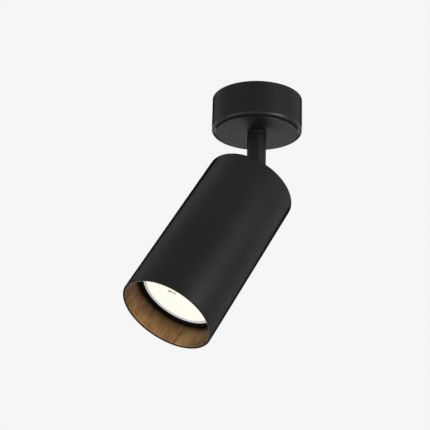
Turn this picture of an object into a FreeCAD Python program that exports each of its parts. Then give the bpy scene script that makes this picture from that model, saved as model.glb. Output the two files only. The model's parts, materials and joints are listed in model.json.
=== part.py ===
import FreeCAD, Part
import math
import os
from collections import namedtuple
from types import SimpleNamespace

import Sketcher
from FreeCAD import Placement, Rotation, Vector

# A surface-mounted ceiling spotlight: a cup-shaped canopy on the ceiling, a short
# stem that turns in it, a knuckle, and a cylindrical head that holds a twist-lock
# reflector lamp behind a metallic anti-glare sleeve.
#
# The origin is at the centre of the canopy's rim, in the plane of the ceiling, with
# +Z up, so that the light hangs into -Z. X runs along the bracket, through both side
# screws. The light is drawn with its head turned and tilted to the resting angles.
# Lengths are in millimetres and angles in degrees.

SIZES = {
    # Fits that several pieces share
    "fit_gap": 0.05,
    "running_gap": 0.1,
    "part_gap": 0.3,
    "overrun": 1.0,

    # Resting attitude of the head
    "rest_pan": -55.0,
    "rest_tilt": 32.0,

    # Canopy, a cast cup with bosses on its floor
    "canopy_radius": 30.0,
    "canopy_height": 24.1,
    "canopy_wall": 1.8,
    "canopy_floor": 2.8,
    "canopy_edge": 1.6,
    "canopy_face_drop": 0.6,
    "canopy_seam_width": 1.0,
    "canopy_seam_depth": 0.9,

    # Side screws that hold the canopy to its bracket
    "grub_radius": 1.5,
    "grub_length": 4.8,
    "grub_drop": 8.0,
    "grub_inset": 0.3,
    "grub_point": 0.4,
    "grub_socket": 1.5,
    "grub_socket_depth": 2.0,

    # Ceiling bracket, a bent steel strap
    "strap_thickness": 1.5,
    "strap_width": 20.0,
    "strap_shoulder": 5.35,
    "strap_bend": 1.0,
    "strap_gap": 0.85,
    "tab_width": 10.0,
    "tab_drop": 12.0,
    "slot_spacing": 34.0,
    "slot_length": 10.0,
    "slot_width": 4.5,
    "cable_hole_radius": 6.0,

    # Terminal block, three poles side by side along X
    "block_length": 25.0,
    "block_width": 10.0,
    "block_height": 11.0,
    "block_wall_gap": 1.7,
    "pole_pitch": 8.0,
    "pole_notch_width": 1.6,
    "pole_notch_depth": 4.5,
    "clamp_radius": 2.4,
    "clamp_bore": 1.75,
    "clamp_level": 4.0,
    "clamp_inset": 0.6,
    "clamp_screw_radius": 1.4,
    "clamp_screw_spread": 5.2,
    "clamp_screw_inset": 1.0,
    "clamp_screw_slot": 0.5,
    "clamp_screw_slot_depth": 0.8,
    "block_lift": 2.0,
    "block_boss_length": 14.0,
    "block_boss_width": 7.0,
    "block_screw_radius": 1.25,
    "block_screw_bite": 3.0,
    "block_screw_head_radius": 2.1,
    "block_screw_head_height": 1.4,
    "block_well_radius": 2.3,

    # Earth screw on the canopy floor, with its washer and ring terminal
    "earth_azimuth": -39.0,
    "earth_wall_gap": 7.6,
    "earth_boss_radius": 3.2,
    "earth_boss_height": 4.0,
    "earth_screw_radius": 2.0,
    "earth_screw_bite": 4.6,
    "earth_screw_head_radius": 3.5,
    "earth_screw_head_height": 2.2,
    "earth_screw_slot": 0.9,
    "earth_screw_slot_depth": 1.0,
    "earth_washer_radius": 3.8,
    "earth_washer_thickness": 0.5,
    "ring_terminal_radius": 3.6,
    "ring_terminal_thickness": 0.8,
    "ring_tongue_width": 2.4,
    "ring_barrel_radius": 1.35,
    "ring_barrel_offset": 1.2,
    "ring_barrel_length": 4.0,

    # Pan bearing: washers, stop washer, disc spring and nuts on the threaded nipple
    "nipple_radius": 5.0,
    "nipple_bore": 3.6,
    "nipple_bite": 11.0,
    "nipple_end": 0.9,
    "nipple_flat": 0.7,
    "outer_washer_thickness": 0.6,
    "inner_washer_thickness": 0.8,
    "pan_washer_radius": 7.6,
    "stop_washer_thickness": 1.2,
    "stop_tab_width": 1.6,
    "stop_tab_reach": 10.5,
    "stop_pin_radius": 0.8,
    "stop_pin_ring": 9.6,
    "stop_pin_height": 2.6,
    "stop_pin_seat": 1.6,
    "disc_spring_radius": 7.0,
    "disc_spring_height": 1.1,
    "disc_spring_thickness": 0.6,
    "nut_across_flats": 14.0,
    "pan_nut_height": 5.0,
    "lock_nut_height": 3.0,
    "bush_radius": 4.8,
    "bush_flange": 0.5,
    "bush_bore": 3.0,
    "bush_length": 4.5,

    # Stem and knuckle
    "pivot_drop": 32.1,
    "stem_radius": 6.3,
    "stem_edge": 0.3,
    "knuckle_collar": 2.9,
    "stub_radius": 5.0,
    "upper_stub_length": 9.5,
    "knuckle_bore": 3.0,
    "lap_gap": 0.1,
    "swing_gap": 0.5,
    "tilt_stop_gap": 0.05,
    "chamber_radius": 4.9,
    "chamber_depth": 2.45,
    "tilt_range": 90.0,
    "pivot_screw_radius": 2.0,
    "pivot_head_radius": 3.5,
    "pivot_head_height": 2.0,
    "pivot_socket": 2.5,
    "pivot_socket_depth": 1.2,
    "pivot_washer_thickness": 0.4,
    "pivot_washer_radius": 3.8,
    "pivot_nut_height": 1.8,
    "pivot_nut_flats": 7.0,

    # Rear cap of the head and what clamps it to the knuckle
    "rear_gap": 9.6,
    "cap_recess": 1.0,
    "cap_thickness": 3.0,
    "cap_skirt": 5.0,
    "cap_skirt_wall": 1.6,
    "cap_edge": 0.4,
    "cap_washer_radius": 8.4,
    "cap_washer_thickness": 0.8,
    "cap_nut_height": 4.0,
    "lower_stub_length": 10.4,
    "cap_boss_ring": 17.0,
    "cap_boss_height": 7.0,

    # Head tube
    "head_length": 113.0,
    "head_wall": 1.0,
    "head_edge": 0.4,

    # Strap that carries the lamp holder
    "holder_strap_thickness": 1.2,
    "holder_strap_width": 15.0,
    "holder_strap_reach": 4.5,
    "holder_foot_length": 7.5,

    # Lamp holder, a ceramic disc with two keyhole slots and its back cover
    "holder_radius": 14.5,
    "holder_edge": 0.8,
    "holder_cavity_depth": 8.6,
    "holder_cover_thickness": 2.5,
    "holder_screw_spread": 21.0,
    "holder_screw_radius": 1.5,
    "holder_screw_head_radius": 2.6,
    "holder_screw_head_height": 2.0,
    "holder_screw_sink": 0.6,
    "holder_screw_slot": 0.8,
    "holder_screw_slot_depth": 0.9,
    "holder_screw_end": 0.8,
    "holder_well_radius": 2.8,
    "contact_thickness": 0.5,
    "contact_width": 3.6,
    "contact_inner": 2.4,
    "contact_outer": 7.6,

    # Twist-lock reflector lamp
    "lamp_radius": 25.2,
    "lamp_length": 46.2,
    "lamp_depth": 16.5,
    "lamp_twist": 25.0,
    "lamp_seat_gap": 0.3,
    "lamp_wall": 1.3,
    "lamp_collar": 6.5,
    "lamp_shoulder_radius": 22.4,
    "lamp_shoulder_depth": 14.0,
    "lamp_neck_depth": 29.0,
    "lamp_neck_length": 2.5,
    "lamp_base_radius": 12.0,
    "lamp_base_depth": 27.5,
    "lamp_base_edge": 1.0,
    "pin_ring": 5.0,
    "pin_radius": 1.6,
    "pin_head_radius": 2.5,
    "pin_head_length": 2.6,
    "pin_length": 7.0,
    "pin_root": 3.0,
    "pin_edge": 0.4,
    "pin_slot_gap": 0.2,
    "pin_cavity_gap": 0.5,
    "lamp_rim_width": 1.9,
    "lamp_rim_depth": 3.0,
    "lens_recess": 0.5,
    "lens_thickness": 1.6,
    "lens_crown": 0.3,
    "lens_ledge": 0.7,
    "board_depth": 8.0,
    "board_thickness": 1.6,
    "board_ledge": 3.3,
    "chip_side": 2.6,
    "chip_height": 0.7,
    "chip_ring": 6.4,

    # Ring round the lamp and the sleeve in front of it
    "centring_width": 3.45,
    "centring_length": 5.8,
    "centring_lead": 0.3,
    "sleeve_wall": 0.9,
    "sleeve_set_back": 0.2,
    "sleeve_lip": 0.4,

    # Internal leads
    "lead_radius": 0.65,
    "lead_pitch": 1.5,
    "lead_entry_gap": 0.3,
    "outer_lead_rise": 3.4,
    "middle_lead_rise": 4.9,
    "lead_drop_gap": 2.6,
    "lead_grip": 5.0,
    "lead_stack": 0.7,
    "bond_lead_side": 8.0,
    "bond_lead_approach": 4.0,
    "bypass_radius": 3.5,
    "knuckle_lead_run": 2.9,
    "earth_lead_side": 3.6,
    "earth_lead_approach": 2.2,
}

# The lead passes the pivot screw through points at this share of its half turn.
BYPASS_SHARE = 0.5
# The lamp leads spread between these shares of the way from the knuckle to the holder.
SPREAD_SHARES = (0.55, 0.88)
# The head's earth lead dips by this share of the way from its terminal to the holder.
EARTH_DIP_SHARE = 0.1
# Half of a pipe's shorter run, less a little, goes to the arc at its corner.
ARC_SHARE = 0.45
HALF_TURN = 180
SQUARE = 90
TOOTH_COUNT = 12
CHIP_COUNT = 8
# A lead's volume may differ from its section times its length by this share.
VOLUME_SHARE = 0.001
ROOT_OF_THREE = math.sqrt(3)

Circle = namedtuple("Circle", "x y radius")
Arc = namedtuple("Arc", "x y anticlockwise")


class Size:
    """A number together with the expression that works it out from the sheet."""

    def __init__(self, value, text):
        self.value = value
        self.text = text

    def __add__(self, other):
        return joined(self, "+", other, self.value + number(other))

    def __sub__(self, other):
        return joined(self, "-", other, self.value - number(other))

    def __mul__(self, other):
        return joined(self, "*", other, self.value * number(other))

    def __truediv__(self, other):
        return joined(self, "/", other, self.value / number(other))

    def __neg__(self):
        return Size(-self.value, "-(%s)" % self.text)


def number(item):
    """The plain number of a size, or of what is a number already."""
    return item.value if isinstance(item, Size) else item


def joined(one, sign, two, value):
    """A size worked out from two others."""
    text = two.text if isinstance(two, Size) else repr(two)
    return Size(value, "(%s %s %s)" % (one.text, sign, text))


def root(item):
    """The square root of a size."""
    return Size(math.sqrt(item.value), "sqrt(%s)" % item.text)


def cosine(angle):
    """The cosine of an angle in degrees."""
    return Size(math.cos(math.radians(angle.value)), "cos(%s)" % angle.text)


def sine(angle):
    """The sine of an angle in degrees."""
    return Size(math.sin(math.radians(angle.value)), "sin(%s)" % angle.text)


def arcsine(one, two):
    """The angle in degrees whose sine is one size over another."""
    angle = math.degrees(math.asin(one.value / two.value))
    return Size(angle, "(asin(%s / %s) / 1deg)" % (one.text, two.text))


def polar(radius, angle):
    """The place at a radius and an angle from the centre."""
    return radius * cosine(angle), radius * sine(angle)


ZERO = Size(0, "0")
WHOLE_TURN = Size(360, "360")

document = FreeCAD.newDocument("ceiling_spotlight")
sheet = document.addObject("Spreadsheet::Sheet", "Sizes")
for row, (alias, amount) in enumerate(SIZES.items(), start=1):
    sheet.set("A%d" % row, alias)
    sheet.set("B%d" % row, str(amount))
    sheet.setAlias("B%d" % row, alias)
document.recompute()
size = SimpleNamespace(**{alias: Size(float(sheet.get(alias)), "Sizes." + alias) for alias in SIZES})
pieces = []


def outline_parts(outline, first):
    """Lines and arcs of one closed outline, the joints between them and their ties."""
    corners = [item for item in outline if not isinstance(item, Arc)]
    arcs = []
    for item in outline:
        if isinstance(item, Arc):
            arcs[-1] = item
        else:
            arcs.append(None)
    shapes, ends, ties = [], [], []
    for place, arc in enumerate(arcs):
        start = corners[place]
        stop = corners[(place + 1) % len(corners)]
        begin = Vector(start[0].value, start[1].value, 0)
        finish = Vector(stop[0].value, stop[1].value, 0)
        if arc is None:
            shapes.append(Part.LineSegment(begin, finish))
            ends.append((1, 2))
            continue
        centre = Vector(arc.x.value, arc.y.value, 0)
        circle = Part.Circle(centre, Vector(0, 0, 1), (begin - centre).Length)
        angles = [math.atan2(point.y - centre.y, point.x - centre.x) for point in (begin, finish)]
        if not arc.anticlockwise:
            angles.reverse()
        shapes.append(Part.ArcOfCircle(circle, angles[0], angles[1]))
        ends.append((1, 2) if arc.anticlockwise else (2, 1))
        chord = finish - begin
        if abs(chord.y) >= abs(chord.x):
            ties.append(("DistanceX", first + place, 3, arc.x))
        else:
            ties.append(("DistanceY", first + place, 3, arc.y))
    for place, corner in enumerate(corners):
        ties.append(("DistanceX", first + place, ends[place][0], corner[0]))
        ties.append(("DistanceY", first + place, ends[place][0], corner[1]))
    count = len(corners)
    joints = []
    for place in range(count):
        after = (place + 1) % count
        joints.append((first + place, ends[place][1], first + after, ends[after][0]))
    return shapes, joints, ties


def drawn(piece, plane, loops, across=ZERO, up=ZERO, lift=ZERO):
    """Draw closed loops on one of the piece's own planes, moved along and off it."""
    sketch = piece.newObject("Sketcher::SketchObject", piece.Name + "_sketch")
    roles = {feature.Role: feature for feature in piece.Origin.OriginFeatures}
    sketch.AttachmentSupport = [(roles[plane], "")]
    sketch.MapMode = "FlatFace"
    for axis, amount in (("x", across), ("y", up), ("z", lift)):
        if amount is not ZERO:
            sketch.setExpression("AttachmentOffset.Base." + axis, amount.text)
    shapes, joints, ties = [], [], []
    for loop in loops:
        first = len(shapes)
        if isinstance(loop, Circle):
            centre = Vector(loop.x.value, loop.y.value, 0)
            shapes.append(Part.Circle(centre, Vector(0, 0, 1), loop.radius.value))
            ties.append(("DistanceX", first, 3, loop.x))
            ties.append(("DistanceY", first, 3, loop.y))
            ties.append(("Radius", first, 0, loop.radius))
            continue
        more = outline_parts(loop, first)
        shapes += more[0]
        joints += more[1]
        ties += more[2]
    sketch.addGeometry(shapes)
    sketch.addConstraint([Sketcher.Constraint("Coincident", *joint) for joint in joints])
    limits = []
    for kind, shape, end, amount in ties:
        if kind == "Radius":
            limits.append(Sketcher.Constraint(kind, shape, amount.value))
        else:
            limits.append(Sketcher.Constraint(kind, -1, 1, shape, end, amount.value))
    places = sketch.addConstraint(limits)
    for place, tie in zip(places, ties):
        if tie[3] is not ZERO:
            sketch.setExpression("Constraints[%d]" % place, tie[3].text)
    return sketch


def new_piece(label, frame):
    """A body for one kind of piece, which may be several separate solids."""
    piece = document.addObject("PartDesign::Body", label)
    piece.Label = label
    piece.AllowCompound = True
    piece.Placement = frame
    pieces.append(piece)
    return piece


def turned(piece, outline, along="Z", x=ZERO, y=ZERO, z=ZERO):
    """Turn an outline about an axis; it is drawn as X and Z from that axis."""
    sketch = drawn(piece, "XZ_Plane", [outline], across=x, up=z, lift=ZERO if y is ZERO else -y)
    feature = piece.newObject("PartDesign::Revolution", piece.Name + "_turned")
    feature.Profile = sketch
    feature.ReferenceAxis = (sketch, ["V_Axis" if along == "Z" else "H_Axis"])
    feature.Angle = WHOLE_TURN.value
    sketch.Visibility = False
    return feature


def swept_feature(piece, kind, along, low, high, loops):
    """A pad or pocket from low to high along an axis; loops lie square to that axis."""
    plane, lift = {"X": ("YZ_Plane", low), "Y": ("XZ_Plane", -high), "Z": ("XY_Plane", low)}[along]
    sketch = drawn(piece, plane, loops, lift=lift)
    feature = piece.newObject("PartDesign::" + kind, piece.Name + "_" + kind.lower())
    feature.Profile = sketch
    feature.setExpression("Length", (high - low).text)
    sketch.Visibility = False
    return feature


def padded(piece, along, low, high, *loops):
    """Add the loops to the piece as a block from low to high."""
    return swept_feature(piece, "Pad", along, low, high, loops)


def cut(piece, along, low, high, *loops):
    """Cut the loops out of the piece from low to high, and see that something went."""
    document.recompute()
    before = piece.Shape.Volume
    feature = swept_feature(piece, "Pocket", along, low, high, loops)
    feature.Reversed = True
    document.recompute()
    if not piece.Shape.Volume < before:
        raise RuntimeError("a cut in %s takes nothing away" % piece.Label)
    return feature


def repeated(piece, features, count):
    """Repeat features round the piece's Z axis."""
    roles = {feature.Role: feature for feature in piece.Origin.OriginFeatures}
    pattern = piece.newObject("PartDesign::PolarPattern", piece.Name + "_pattern")
    pattern.Originals = features
    pattern.Axis = (roles["Z_Axis"], [""])
    pattern.Angle = WHOLE_TURN.value
    pattern.Occurrences = count
    piece.Tip = pattern
    return pattern


def rectangle(left, right, low, high):
    """A rectangle between four sides."""
    return [(left, low), (right, low), (right, high), (left, high)]


def hexagon(x, y, flats):
    """A hexagon with two flats square to the second axis."""
    corner = flats / ROOT_OF_THREE
    half = corner / 2
    edge = flats / 2
    steps = [(corner, ZERO), (half, edge), (-half, edge), (-corner, ZERO), (-half, -edge), (half, -edge)]
    return [(x + step[0], y + step[1]) for step in steps]


def straight_slot(x, y, length, width):
    """A slot with round ends, long along the first axis."""
    reach = (length - width) / 2
    half = width / 2
    return [
        (x - reach, y - half), (x + reach, y - half), Arc(x + reach, y, True),
        (x + reach, y + half), (x - reach, y + half), Arc(x - reach, y, True),
    ]


def curved_slot(ring, half_width, start, stop):
    """A slot with round ends that bends about the centre from one angle to another."""
    return [
        polar(ring + half_width, start), Arc(ZERO, ZERO, True),
        polar(ring + half_width, stop), Arc(*polar(ring, stop), True),
        polar(ring - half_width, stop), Arc(ZERO, ZERO, False),
        polar(ring - half_width, start), Arc(*polar(ring, start), True),
    ]


def rod(radius, low, high, edge):
    """Half outline of a solid round rod with a bevel at its low end."""
    return [(ZERO, low), (radius - edge, low), (radius, low + edge), (radius, high), (ZERO, high)]


def rod_path(points):
    """Straight runs through the points, joined by arcs tangent to both."""
    edges, radii = [], []
    begin = points[0]
    for place in range(1, len(points) - 1):
        corner = points[place]
        inward = corner - points[place - 1]
        outward = points[place + 1] - corner
        turn = inward.getAngle(outward)
        reach = ARC_SHARE * min(inward.Length, outward.Length)
        radius = reach / math.tan(turn / 2)
        inward.normalize()
        outward.normalize()
        leave = corner - inward * reach
        rejoin = corner + outward * reach
        side = (outward - inward).normalize()
        middle = corner + side * (radius / math.cos(turn / 2) - radius)
        edges.append(Part.LineSegment(begin, leave).toShape())
        edges.append(Part.Arc(leave, middle, rejoin).toShape())
        begin = rejoin
        radii.append(radius)
    edges.append(Part.LineSegment(begin, points[-1]).toShape())
    return Part.Wire(edges), radii


def leads(label, frame, routes):
    """Insulated leads, each a round tube along its own route."""
    solids = []
    for route in routes:
        points = [Vector(*[number(item) for item in point]) for point in route]
        path, radii = rod_path(points)
        section = Part.makeCircle(size.lead_radius.value, points[0], points[1] - points[0])
        solid = path.makePipeShell([Part.Wire(section)], True, False)
        expected = math.pi * size.lead_radius.value ** 2 * path.Length
        if abs(solid.Volume - expected) > expected * VOLUME_SHARE:
            raise RuntimeError("a lead in %s has the wrong volume" % label)
        solids.append(solid)
        bends = ", smallest bend radius %.2f mm" % min(radii) if radii else ", straight"
        print("%s: %.1f mm long%s" % (label, path.Length, bends))
    piece = document.addObject("Part::Feature", label)
    piece.Label = label
    piece.Shape = Part.makeCompound(solids)
    piece.Placement = frame
    pieces.append(piece)
    return piece


# Levels and radii that several pieces share, from the ceiling downwards
canopy_bore = size.canopy_radius - size.canopy_wall
canopy_under = -size.canopy_height
floor_top = canopy_under + size.canopy_floor
pivot_level = canopy_under - size.pivot_drop
nut_corner = size.nut_across_flats / ROOT_OF_THREE

# The pan bearing's stack, from the canopy floor upwards
stem_top = canopy_under - size.outer_washer_thickness
inner_washer_top = floor_top + size.inner_washer_thickness
stop_washer_top = inner_washer_top + size.stop_washer_thickness
disc_spring_top = stop_washer_top + size.disc_spring_height
pan_nut_top = disc_spring_top + size.pan_nut_height
lock_nut_top = pan_nut_top + size.lock_nut_height
nipple_top = lock_nut_top + size.nipple_end
bush_top = nipple_top + size.bush_flange
lead_entry = bush_top + size.lead_entry_gap

# The knuckle, about the pivot
shoulder = size.stem_radius + size.swing_gap
collar_end = shoulder + size.knuckle_collar
stem_bottom = pivot_level + collar_end
lap_face = size.lap_gap / 2
pivot_hole = size.pivot_screw_radius + size.running_gap
head_seat = size.stem_radius - size.pivot_head_height
nut_seat = size.stem_radius - size.pivot_nut_height - size.pivot_washer_thickness

# The head, whose own frame has its origin at the pivot and its beam along -Z
head_bore = size.lamp_radius + size.part_gap + size.centring_width + size.fit_gap
head_radius = head_bore + size.head_wall


def station(distance):
    """The level in the head's frame at a distance in front of its rear rim."""
    return -(size.rear_gap + distance)


cap_outside = station(size.cap_recess)
cap_inside = cap_outside - size.cap_thickness
strap_front = cap_inside - size.holder_strap_thickness
cap_washer_front = strap_front - size.cap_washer_thickness
cap_nut_front = cap_washer_front - size.cap_nut_height
lower_stub_end = cap_outside - size.lower_stub_length
cap_boss_top = cap_inside - size.cap_boss_height
lamp_face = station(size.head_length - size.lamp_depth)
lamp_seat = lamp_face + size.lamp_length
pin_end = lamp_seat + size.pin_length
pin_catch = pin_end - size.pin_head_length
holder_front = lamp_seat + size.lamp_seat_gap
cavity_front = pin_catch - size.pin_slot_gap
holder_back = cavity_front + size.holder_cavity_depth
cover_back = holder_back + size.holder_cover_thickness
foot_back = cover_back + size.holder_strap_thickness
centring_front = lamp_face - size.centring_lead

pivot = Vector(0, 0, pivot_level.value)
pan = Rotation(Vector(0, 0, 1), size.rest_pan.value)
tilt = Rotation(Vector(1, 0, 0), -size.rest_tilt.value)
CANOPY = Placement()
STEM = Placement(Vector(0, 0, 0), pan)
HEAD = Placement(pivot, pan * tilt)

# The terminal block stands on its boss against the canopy's wall
block_far = root((canopy_bore - size.block_wall_gap) * (canopy_bore - size.block_wall_gap)
                 - size.block_length * size.block_length / 4)
block_near = block_far - size.block_width
block_middle = (block_near + block_far) / 2
block_bottom = floor_top + size.block_lift
block_top = block_bottom + size.block_height
clamp_centre = block_bottom + size.clamp_level
notch_floor = block_top - size.pole_notch_depth
poles = [-size.pole_pitch, ZERO, size.pole_pitch]
block_screw_places = [-size.pole_pitch / 2, size.pole_pitch / 2]
clamp_screw_rows = [block_middle - size.clamp_screw_spread / 2, block_middle + size.clamp_screw_spread / 2]

# The earth boss stands beside the pan bearing
earth_x, earth_y = polar(canopy_bore - size.earth_wall_gap, size.earth_azimuth)
earth_boss_top = floor_top + size.earth_boss_height
earth_washer_top = earth_boss_top + size.earth_washer_thickness
ring_top = earth_washer_top + size.ring_terminal_thickness
barrel_level = earth_washer_top + size.ring_barrel_radius
barrel_near = earth_y + size.ring_terminal_radius + size.ring_barrel_offset
barrel_far = barrel_near + size.ring_barrel_length
stop_pin_place = polar(size.stop_pin_ring, size.rest_pan + HALF_TURN)
CANOPY_EARTH = Placement(Vector(earth_x.value, earth_y.value, 0), Rotation())

# The head's earth boss faces the lamp, with its ring terminal towards the middle
facing_lamp = Rotation(Vector(0, 0, 1), -SQUARE) * Rotation(Vector(1, 0, 0), HALF_TURN)
HEAD_EARTH = HEAD * Placement(Vector(size.cap_boss_ring.value, 0, 0), facing_lamp)


def make_canopy():
    """The cup on the ceiling, with bosses on its floor for the terminals.

    Its lower edge is round, and a seam parts the edge from the face, which hangs a little lower.
    """
    cup = new_piece("ceiling_canopy", CANOPY)
    bore = size.nipple_radius + size.running_gap
    lip = canopy_under + size.canopy_face_drop
    lip_radius = size.canopy_radius - size.canopy_edge
    face_radius = lip_radius - size.canopy_seam_width
    turned(cup, [
        (bore, canopy_under),
        (face_radius, canopy_under),
        (face_radius, lip + size.canopy_seam_depth),
        (lip_radius, lip + size.canopy_seam_depth),
        (lip_radius, lip), Arc(lip_radius, lip + size.canopy_edge, True),
        (size.canopy_radius, lip + size.canopy_edge),
        (size.canopy_radius, ZERO),
        (canopy_bore, ZERO),
        (canopy_bore, floor_top),
        (bore, floor_top),
    ])
    half_length = size.block_boss_length / 2
    half_width = size.block_boss_width / 2
    padded(cup, "Z", floor_top, block_bottom,
           rectangle(-half_length, half_length, block_middle - half_width, block_middle + half_width))
    padded(cup, "Z", floor_top, earth_boss_top, Circle(earth_x, earth_y, size.earth_boss_radius))
    cut(cup, "Z", earth_boss_top - size.earth_screw_bite, earth_boss_top,
        Circle(earth_x, earth_y, size.earth_screw_radius + size.fit_gap))
    screw_hole = size.block_screw_radius + size.fit_gap
    cut(cup, "Z", block_bottom - size.block_screw_bite, block_bottom,
        *[Circle(x, block_middle, screw_hole) for x in block_screw_places])
    cut(cup, "Z", floor_top - size.stop_pin_seat, floor_top,
        Circle(*stop_pin_place, size.stop_pin_radius + size.fit_gap))
    reach = size.canopy_radius + size.overrun
    cut(cup, "X", -reach, reach, Circle(ZERO, -size.grub_drop, size.grub_radius + size.running_gap))


def make_bracket():
    """The steel strap that two ceiling screws hold through its slots."""
    strap = new_piece("mounting_bracket", CANOPY)
    outer = canopy_bore - size.strap_gap
    inner = outer - size.strap_thickness
    round_out = size.strap_bend + size.strap_thickness
    bend = outer - round_out
    half_width = size.strap_width / 2
    half_tab = size.tab_width / 2
    padded(strap, "Y", -half_width, half_width, [
        (-outer, -size.tab_drop), (-outer, -round_out), Arc(-bend, -round_out, False),
        (-bend, ZERO), (bend, ZERO), Arc(bend, -round_out, False),
        (outer, -round_out), (outer, -size.tab_drop), (inner, -size.tab_drop),
        (inner, -round_out), Arc(bend, -round_out, True),
        (bend, -size.strap_thickness), (-bend, -size.strap_thickness), Arc(-bend, -round_out, True),
        (-inner, -round_out), (-inner, -size.tab_drop),
    ])
    reach = outer + size.overrun
    spare = half_width + size.overrun
    shoulder_place = outer - size.strap_shoulder
    cut(strap, "Z", -(size.tab_drop + size.overrun), size.overrun,
        rectangle(shoulder_place, reach, half_tab, spare),
        rectangle(shoulder_place, reach, -spare, -half_tab),
        rectangle(-reach, -shoulder_place, half_tab, spare),
        rectangle(-reach, -shoulder_place, -spare, -half_tab))
    place = size.slot_spacing / 2
    cut(strap, "Z", -(size.strap_thickness + size.overrun), size.overrun,
        Circle(ZERO, ZERO, size.cable_hole_radius),
        straight_slot(place, ZERO, size.slot_length, size.slot_width),
        straight_slot(-place, ZERO, size.slot_length, size.slot_width))
    cut(strap, "X", -reach, reach, Circle(ZERO, -size.grub_drop, size.grub_radius + size.fit_gap))


def make_canopy_screws():
    """Two flush side screws that hold the canopy to the bracket's tabs."""
    screws = new_piece("canopy_grub_screws", CANOPY)
    outer = size.canopy_radius - size.grub_inset
    tip = outer - size.grub_length
    body = turned(screws, [
        (tip, ZERO), (outer, ZERO), (outer, size.grub_radius),
        (tip + size.grub_point, size.grub_radius), (tip, size.grub_radius - size.grub_point),
    ], along="X", z=-size.grub_drop)
    socket = cut(screws, "X", outer - size.grub_socket_depth, outer,
                 hexagon(ZERO, -size.grub_drop, size.grub_socket))
    repeated(screws, [body, socket], 2)


def make_terminal_block():
    """A three-pole block with brass clamps, their screws and two fixing screws."""
    half = size.block_length / 2
    notch = size.pole_notch_width / 2
    crest = [(half, block_top), (half, block_bottom), (-half, block_bottom), (-half, block_top)]
    for place in block_screw_places:
        crest += [(place - notch, block_top), (place - notch, notch_floor),
                  (place + notch, notch_floor), (place + notch, block_top)]
    block = new_piece("terminal_block", CANOPY)
    padded(block, "Y", block_near, block_far, crest)
    cut(block, "Y", block_near, block_far,
        *[Circle(x, clamp_centre, size.clamp_radius + size.fit_gap) for x in poles])
    cut(block, "Z", clamp_centre, block_top,
        *[Circle(x, y, size.clamp_screw_radius + size.fit_gap) for x in poles for y in clamp_screw_rows])
    cut(block, "Z", notch_floor, block_top,
        *[Circle(x, block_middle, size.block_well_radius) for x in block_screw_places])
    cut(block, "Z", block_bottom, notch_floor,
        *[Circle(x, block_middle, size.block_screw_radius + size.fit_gap) for x in block_screw_places])

    clamps = new_piece("terminal_clamps", CANOPY)
    padded(clamps, "Y", block_near + size.clamp_inset, block_far - size.clamp_inset,
           *[Circle(x, clamp_centre, size.clamp_radius) for x in poles],
           *[Circle(x, clamp_centre, size.clamp_bore) for x in poles])
    cut(clamps, "Z", clamp_centre, clamp_centre + size.clamp_radius,
        *[Circle(x, y, size.clamp_screw_radius + size.fit_gap) for x in poles for y in clamp_screw_rows])

    screws = new_piece("terminal_screws", CANOPY)
    tip = clamp_centre + size.lead_stack + size.lead_radius
    top = block_top - size.clamp_screw_inset
    slot = size.clamp_screw_slot / 2
    reach = size.clamp_screw_radius + size.overrun
    padded(screws, "Z", tip, top,
           *[Circle(x, y, size.clamp_screw_radius) for x in poles for y in clamp_screw_rows])
    cut(screws, "Z", top - size.clamp_screw_slot_depth, top,
        *[rectangle(x - slot, x + slot, y - reach, y + reach) for x in poles for y in clamp_screw_rows])

    fixings = new_piece("terminal_mount_screws", CANOPY)
    bottom = block_bottom - size.block_screw_bite
    padded(fixings, "Z", bottom, notch_floor,
           *[Circle(x, block_middle, size.block_screw_radius) for x in block_screw_places])
    head_top = notch_floor + size.block_screw_head_height
    padded(fixings, "Z", notch_floor, head_top,
           *[Circle(x, block_middle, size.block_screw_head_radius) for x in block_screw_places])
    reach = size.block_screw_head_radius + size.overrun
    cut(fixings, "Z", head_top - size.clamp_screw_slot_depth, head_top,
        *[rectangle(x - slot, x + slot, block_middle - reach, block_middle + reach)
          for x in block_screw_places])


def make_toothed_washer(label, frame, bore, radius, low, high):
    """A lock washer with notches cut round its edge."""
    washer = new_piece(label, frame)
    padded(washer, "Z", low, high, Circle(ZERO, ZERO, radius), Circle(ZERO, ZERO, bore))
    depth = (radius - bore) / 3
    notch = radius / TOOTH_COUNT
    tooth = cut(washer, "Z", low, high, rectangle(radius - depth, radius + size.overrun, -notch, notch))
    repeated(washer, [tooth], TOOTH_COUNT)


def make_ring_terminal(label, frame, low):
    """A crimped ring terminal whose barrel points along the frame's Y axis."""
    terminal = new_piece(label, frame)
    top = low + size.ring_terminal_thickness
    half = size.ring_tongue_width / 2
    near = size.ring_terminal_radius + size.ring_barrel_offset
    far = near + size.ring_barrel_length
    level = low + size.ring_barrel_radius
    padded(terminal, "Z", low, top, Circle(ZERO, ZERO, size.ring_terminal_radius))
    padded(terminal, "Z", low, top, rectangle(-half, half, ZERO, (near + far) / 2))
    padded(terminal, "Y", near, far, Circle(ZERO, level, size.ring_barrel_radius))
    cut(terminal, "Y", near, far, Circle(ZERO, level, size.lead_radius + size.fit_gap))
    cut(terminal, "Z", low, top, Circle(ZERO, ZERO, size.earth_screw_radius + size.running_gap))


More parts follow.
